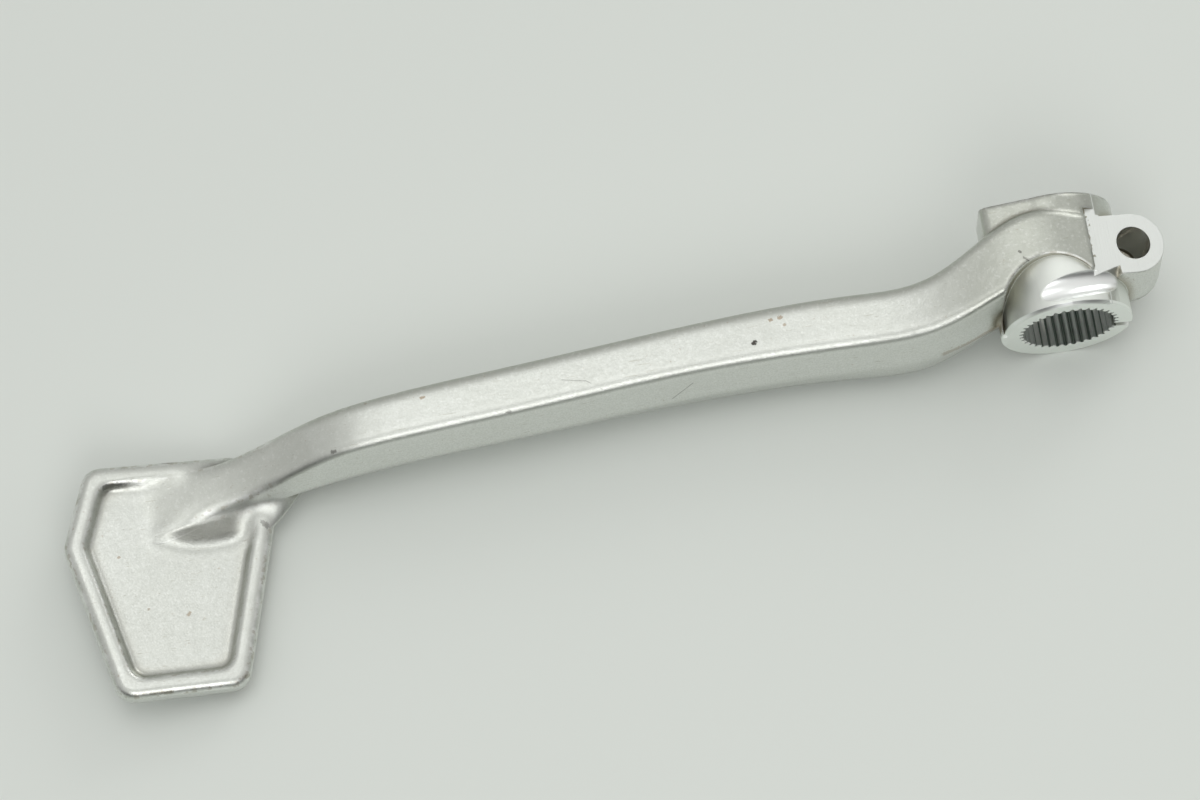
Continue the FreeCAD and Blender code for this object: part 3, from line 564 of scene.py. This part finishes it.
def metal_colour(graph, place, layers, faces):
    """The forged skin with its layers and marks, and the machined faces over it."""
    at_root_top = graph.ramp(segment_distance(graph, place, *ROOT_TOP), *ROOT_TOP_LIMITS)
    dull = graph.either(
        graph.product(graph.pattern(place, "cloud"), CLOUD_DULLNESS),
        graph.product(at_root_top, ROOT_DULLNESS))
    colour = graph.blend(dull, FORGED, FORGED_DULL)
    for name, tint, strength in LAYERS:
        colour = graph.blend(graph.product(layers[name], strength), colour, tint)

    wander = graph.calc("SUBTRACT", graph.noise(place, *WANDER_NOISE), NOISE_MIDDLE)
    for start, end, width, tint, strength in MARKS:
        distance = segment_distance(graph, place, start, end)
        distance = graph.calc("ADD", distance, graph.product(wander, MARK_WANDER * width))
        mark = graph.ramp(distance, MARK_LIMITS[0] * width, MARK_LIMITS[1] * width)
        colour = graph.blend(graph.product(mark, strength), colour, tint)

    for name, (tint, _) in FINISHES.items():
        colour = graph.blend(faces[name], colour, tint)
    return colour


def metal_roughness(graph, grain, valley, faces):
    """The roughness of the forged skin, and of the machined faces over it."""
    from_grain = graph.product(grain, GRAIN_ROUGHNESS)
    from_valley = graph.product(valley, VALLEY_ROUGHNESS)
    rough = graph.calc("ADD", FORGED_ROUGHNESS, graph.calc("ADD", from_grain, from_valley))
    for name, (_, level) in FINISHES.items():
        rough = graph.blend(faces[name], rough, level, "FLOAT")
    return rough


def bumped_normal(graph, place, normal, machined, seat):
    """The normal with the bumps of the forged skin and the seat's milling lines."""
    skin = graph.product(graph.noise(place, *SKIN_NOISE), SKIN_HEIGHT)
    ripple = graph.product(graph.noise(place, *RIPPLE_NOISE), RIPPLE_HEIGHT)
    milling = graph.noise(graph.stretched(place, MILLING_STRETCH), *MILLING_NOISE)
    lines = graph.product(milling, MILLING_HEIGHT, seat)
    height = graph.blend(machined, graph.calc("ADD", skin, ripple), lines, "FLOAT")
    bump = graph.node("ShaderNodeBump", {})
    graph.feed(bump.inputs["Strength"], 1.0)
    graph.feed(bump.inputs["Distance"], MM)
    graph.feed(bump.inputs["Height"], height)
    graph.feed(bump.inputs["Normal"], normal)
    return bump.outputs[0]


def dress_pedal():
    """Gives the pedal its one material."""
    graph = Graph("forged_alloy")
    place = graph.scaled(graph.node("ShaderNodeTexCoord", {}).outputs["Object"], 1 / MM)
    x, y, z = graph.parts(place)
    faces = machined_faces(graph, place, x, y, z)
    machined = graph.either(*faces.values())
    at_root = graph.ramp(segment_distance(graph, place, *ROOT), *ROOT_LIMITS)
    on_arm = graph.product(graph.ramp(x, *ARM_LEFT), graph.ramp(x, *ARM_RIGHT))

    surface = graph.node("ShaderNodeNewGeometry", {}).outputs["Normal"]
    wider_root = graph.product(at_root, ROOT_FILLET - FORGED_EDGE)
    wider_arm = graph.product(on_arm, ARM_EDGE - FORGED_EDGE)
    edge = graph.calc("ADD", FORGED_EDGE, graph.calc("ADD", wider_root, wider_arm))
    edge = graph.product(edge, MM)
    rounded = graph.bevel(edge, FORGED_EDGE_SAMPLES)
    crisp = graph.bevel(MACHINED_EDGE * MM, MACHINED_EDGE_SAMPLES)
    valley, shade, fillet = valley_fillet(graph, x, y)
    normal = graph.blend(valley, rounded, fillet, "VECTOR")
    normal = graph.blend(machined, normal, crisp, "VECTOR")

    layers = skin_layers(graph, place, on_arm, at_root, shade, surface, rounded)
    inputs = graph.shader.inputs
    inputs["Metallic"].default_value = 1.0
    graph.feed(inputs["Base Color"], metal_colour(graph, place, layers, faces))
    graph.feed(inputs["Roughness"], metal_roughness(graph, layers["grain"], valley, faces))
    graph.feed(inputs["Normal"], bumped_normal(graph, place, normal, machined, faces["seat"]))
    pedal.data.materials.clear()
    pedal.data.materials.append(graph.material)


make_camera()
make_table()
make_lamps()
make_room()
dress_pedal()
bpy.context.scene.view_settings.view_transform = "Standard"
